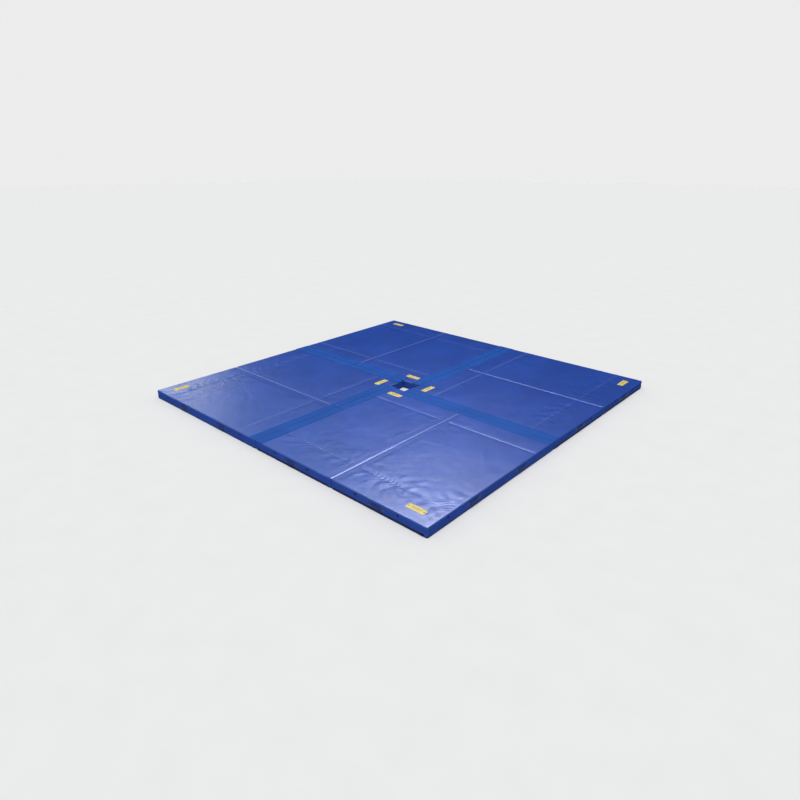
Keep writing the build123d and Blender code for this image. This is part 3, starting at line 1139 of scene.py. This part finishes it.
def label_print(name):
    """A yellow patch with a darker border, two rivet-like dots and two plain bars."""
    material, tree, where = shader(name)
    u, v, edge = (attribute(tree, key) for key in ("u", "v", "edge"))
    yellow, ink = (0.66, 0.52, 0.12), (0.05, 0.06, 0.10)
    base = mixed(tree, noise_node(tree, where, 22.0, 4.0, 0.6), yellow, shaded(yellow, 1.25))
    from_middle = maths(tree, "ABSOLUTE", u)
    border = within(tree, maths(tree, "SUBTRACT", edge, 0.0055), 0.0010)
    base = mixed(tree, maths(tree, "MULTIPLY", border, 0.7), base, ink)
    for bar_v, half_width, reach in ((0.010, 0.0055, 0.070), (-0.012, 0.0030, 0.052)):
        beside = within(tree, maths(tree, "SUBTRACT", v, bar_v), half_width)
        inside = maths(tree, "MULTIPLY", beside, within(tree, from_middle, reach))
        base = mixed(tree, maths(tree, "MULTIPLY", inside, 0.75), base, ink)
    from_dot = maths(tree, "SUBTRACT", from_middle, 0.098)
    squares = [maths(tree, "MULTIPLY", value, value) for value in (from_dot, v)]
    dots = maths(tree, "LESS_THAN", maths(tree, "ADD", *squares), 0.0085 ** 2)
    base = mixed(tree, dots, base, ink)
    grain = noise_node(tree, where, 500.0, 2.0, 0.5)
    return finished(material, base, 0.55, ((grain, 0.2, 0.0004),), Specular_IOR_Level=0.2)


def painted_metal(name, colour, roughness):
    """Dark paint over zinc, worn to the metal in spots."""
    material, tree, where = shader(name)
    wear = noise_node(tree, where, 90.0, 5.0, 0.7)
    base = mixed(tree, ramp(tree, wear, 0.62, 0.72), colour, (0.35, 0.35, 0.36))
    return finished(material, base, roughness, ((wear, 0.1, 0.0003),), Metallic=0.6)


def pale_material(name, colour, roughness):
    """Matt floor paint."""
    material, tree, where = shader(name)
    mottle = noise_node(tree, where, 3.0, 3.0, 0.5)
    base = ramp(tree, mottle, 0.3, 0.7, shaded(colour, 0.98), colour)
    return finished(material, base, roughness, (), Specular_IOR_Level=0.0)


def glowing_material(name, colour):
    """An even brightness that needs no light."""
    material, tree, _ = shader(name)
    tree.nodes.remove(tree.nodes["Principled BSDF"])
    glow = node(tree, "ShaderNodeEmission", {"Color": colour})
    tree.links.new(glow.outputs["Emission"], tree.nodes["Material Output"].inputs["Surface"])
    return material


# ---- stage

def make_floor():
    """A round floor that meets a dome of nearly the same brightness, so that no horizon shows."""
    turns = np.linspace(0, 2 * math.pi, 65)
    rim = FLOOR_REACH * np.stack([np.cos(turns), np.sin(turns), 0 * turns], 1)[:-1]
    paint = pale_material("floor_paint", FLOOR_COLOUR, 0.6)
    floor = new_mesh("floor", rim, [tuple(range(len(rim)))], paint)
    floor.visible_glossy = False
    heights = np.radians(np.linspace(-2, 88, 24))
    h, t = np.meshgrid(heights, turns, indexing="ij")
    reach = 0.98 * FLOOR_REACH * np.cos(h)
    grid = grid_of(reach * np.cos(t), reach * np.sin(t), FLOOR_REACH * np.sin(h))
    glow = glowing_material("backdrop_paint", BACKDROP_COLOUR)
    dome = new_mesh("backdrop", grid.reshape(-1, 3), grid_faces(len(heights), len(turns)), glow)
    dome.visible_diffuse = False
    dome.visible_glossy = False
    dome.visible_shadow = False


def make_camera():
    """A camera beyond the front mat's outer corner, looking down just in front of the hole."""
    azimuth, elevation = np.radians(CAMERA_ANGLES)
    data = bpy.data.cameras.new("camera")
    data.sensor_width = 36.0
    data.lens = CAMERA_LENS
    data.clip_end = 200.0
    camera = linked("camera", data)
    back = Vector((
        math.sin(azimuth) * math.cos(elevation),
        -math.cos(azimuth) * math.cos(elevation),
        math.sin(elevation),
    ))
    camera.location = Vector(CAMERA_PLACE) * HALF_SIDE
    camera.rotation_mode = "QUATERNION"
    camera.rotation_quaternion = (-back).to_track_quat("-Z", "Y")
    bpy.context.scene.camera = camera


def gloss_panel(name, x, y, size, power, colour):
    """A soft panel over the set, facing down, that only gives the vinyl its sheen."""
    data = bpy.data.lights.new(name, "AREA")
    data.shape = "RECTANGLE"
    data.size, data.size_y = size
    data.energy = power
    data.color = colour
    light = linked(name, data)
    light.location = (x, y, PANEL_HEIGHT)
    light.visible_diffuse = False


def soft_sun(name, toward, strength, spread_degrees):
    """A sun with soft shadows that gives no sheen. toward points at it."""
    data = bpy.data.lights.new(name, "SUN")
    data.energy = strength
    data.angle = math.radians(spread_degrees)
    light = linked(name, data)
    light.rotation_mode = "QUATERNION"
    light.rotation_quaternion = (-Vector(toward)).to_track_quat("-Z", "Y")
    light.visible_glossy = False


def make_light():
    """A pale sky and a soft sun for the colours, and panels for the sheen."""
    world = bpy.data.worlds.new("world")
    world.use_nodes = True
    background = world.node_tree.nodes["Background"]
    background.inputs["Color"].default_value = (*SKY_COLOUR, 1.0)
    background.inputs["Strength"].default_value = SKY_STRENGTH
    bpy.context.scene.world = world
    world.cycles_visibility.glossy = False
    soft_sun("sun", (0.22, -0.34, 1.0), 2.1, 40.0)
    cool, neutral = (0.72, 0.95, 1.20), (0.94, 0.98, 1.06)
    gloss_panel("left_panel", -16.0, 3.8, (4.0, 3.5), 520.0, neutral)
    gloss_panel("middle_panel", -8.0, 1.5, (10.0, 6.0), 190.0, cool)
    gloss_panel("right_panel", 0.0, 1.0, (4.0, 4.0), 860.0, neutral)
    gloss_panel("rear_panel", 9.0, -6.0, (8.0, 5.0), 200.0, neutral)
    bpy.context.scene.view_settings.view_transform = "Standard"


# ---- build

make_camera()
make_light()
make_floor()

# seam: pale seams, wear and a painted highlight
cover_vinyl = vinyl("cover_vinyl", (0.015, 0.062, 0.345), 0.36, seam=0.8, rub=0.12)
# seam here paints the fold crease pale: stress whitening and a painted highlight
fold_vinyl = vinyl("fold_vinyl", (0.018, 0.059, 0.34), 0.36, seam=0.95, rub=0.04)
# groove: painted shade along the flaps' creases
flap_vinyl = vinyl("flap_vinyl", (0.014, 0.078, 0.35), 0.60, specular=0.05, groove=0.8)
welt_vinyl = vinyl("welt_vinyl", (0.019, 0.060, 0.35), 0.40)
webbing = plain_woven("webbing", (0.016, 0.045, 0.24), 0.8, 900.0)
loop_pile = plain_woven("loop_pile", (0.008, 0.018, 0.08), 0.95, 700.0, sheen=0.08)
hook_tape = plain_woven("hook_tape", (0.010, 0.014, 0.04), 0.7, 500.0)
zip_cloth = plain_woven("zip_cloth", (0.010, 0.030, 0.17), 0.85, 1100.0)
zip_coil = plain_woven("zip_coil", (0.006, 0.009, 0.04), 0.5, 1600.0)
thread = plain_woven("thread", (0.30, 0.38, 0.62), 0.7, 1500.0)
vent_plastic = vinyl("vent_plastic", (0.010, 0.016, 0.07), 0.45)
zip_metal = painted_metal("zip_metal", (0.02, 0.025, 0.06), 0.35)
soft_foam = foam("soft_foam", (0.72, 0.68, 0.52), 900.0)
firm_foam = foam("firm_foam", (0.30, 0.36, 0.46), 1500.0)
label_paint = label_print("label_print")

for mat_index in range(len(MATS)):
    fold_strip(mat_index, fold_vinyl)
    for mat_half in HALVES:
        cover_piece(mat_half, mat_index, cover_vinyl)
        flap(mat_half, mat_index, flap_vinyl)
        hook_strip(mat_half, mat_index, hook_tape)
        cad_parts[f"{MATS[mat_index]}_{mat_half}_zip_slider"].data.materials[0] = zip_metal
foam_pieces(soft_foam, firm_foam)
loop_strips(loop_pile)
label_kinds = ("label_patch", "label_patches")
on_every_half(label_patch, label_kinds, ("label", "labels"), "label_print", label_paint)
handle_places = ((0.0,), (-END_HANDLE_OFFSET, END_HANDLE_OFFSET), HANDLE_Z)
wall_pieces(strap(), "handle_straps", "handles", "webbing", webbing, handle_places)
wall_pieces(box_stitches(), "handle_thread", "handles", "webbing", thread, handle_places)
vent_places = ((-VENT_OFFSET, VENT_OFFSET), (-END_VENT_OFFSET, END_VENT_OFFSET), VENT_Z)
wall_pieces(vent_rim(), "vent_rims", "vents", "vent_plastic", vent_plastic, vent_places)
wall_pieces(vent_mesh(), "vent_screens", "vents", "vent_plastic", zip_metal, vent_places)
on_every_half(zip_tape, ("zip_tape", "zip_tape"), ("zipper", "zippers"), "zip_tape", zip_cloth)
on_every_half(zip_teeth, ("zip_teeth", "zip_teeth"), ("zipper", "zippers"), "zip_tape", zip_coil)
on_every_half(edge_welt, ("edge_welt", "edge_welts"), (), "cover_vinyl", welt_vinyl)
on_every_half(seam_threads, ("seam_thread", "seam_thread"), (), "cover_vinyl", thread)
